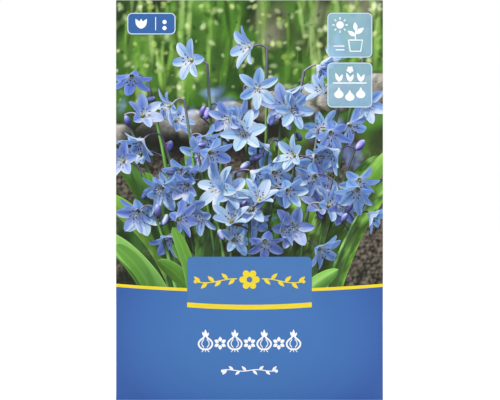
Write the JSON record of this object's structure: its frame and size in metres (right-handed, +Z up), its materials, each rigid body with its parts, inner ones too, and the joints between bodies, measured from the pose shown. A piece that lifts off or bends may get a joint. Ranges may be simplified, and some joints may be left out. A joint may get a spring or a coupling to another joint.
{
  "type": "carded bag of flower bulbs",
  "caption": "Upright retail packet of small flower bulbs: a picture card folded over at the top, with a clear vented film bag of loose bulbs behind it.",
  "frame": {"origin": "on the surface that the packet stands on, under the middle of its bounding box", "axes": "+X to the right as the print is read, +Y from the printed front to the back, +Z up"},
  "size_m": [0.12, 0.0262, 0.18],
  "materials": {
    "board": "printed and coated on the outside, plain inside",
    "film": "clear, thin and glossy",
    "bulb_tunic": "thin, dry and papery, over a fleshy bulb"
  },
  "bodies": {
    "root": {"card": "board", "bag": "film", "bulb_01": "bulb_tunic", "bulb_02": "bulb_tunic", "bulb_03": "bulb_tunic", "bulb_04": "bulb_tunic", "bulb_05": "bulb_tunic", "bulb_06": "bulb_tunic", "bulb_07": "bulb_tunic", "bulb_08": "bulb_tunic", "bulb_09": "bulb_tunic", "bulb_10": "bulb_tunic", "bulb_11": "bulb_tunic", "bulb_12": "bulb_tunic", "bulb_13": "bulb_tunic", "bulb_14": "bulb_tunic", "bulb_15": "bulb_tunic", "bulb_16": "bulb_tunic", "bulb_17": "bulb_tunic", "bulb_18": "bulb_tunic", "bulb_19": "bulb_tunic", "bulb_20": "bulb_tunic", "bulb_21": "bulb_tunic"}
  },
  "joints": []
}
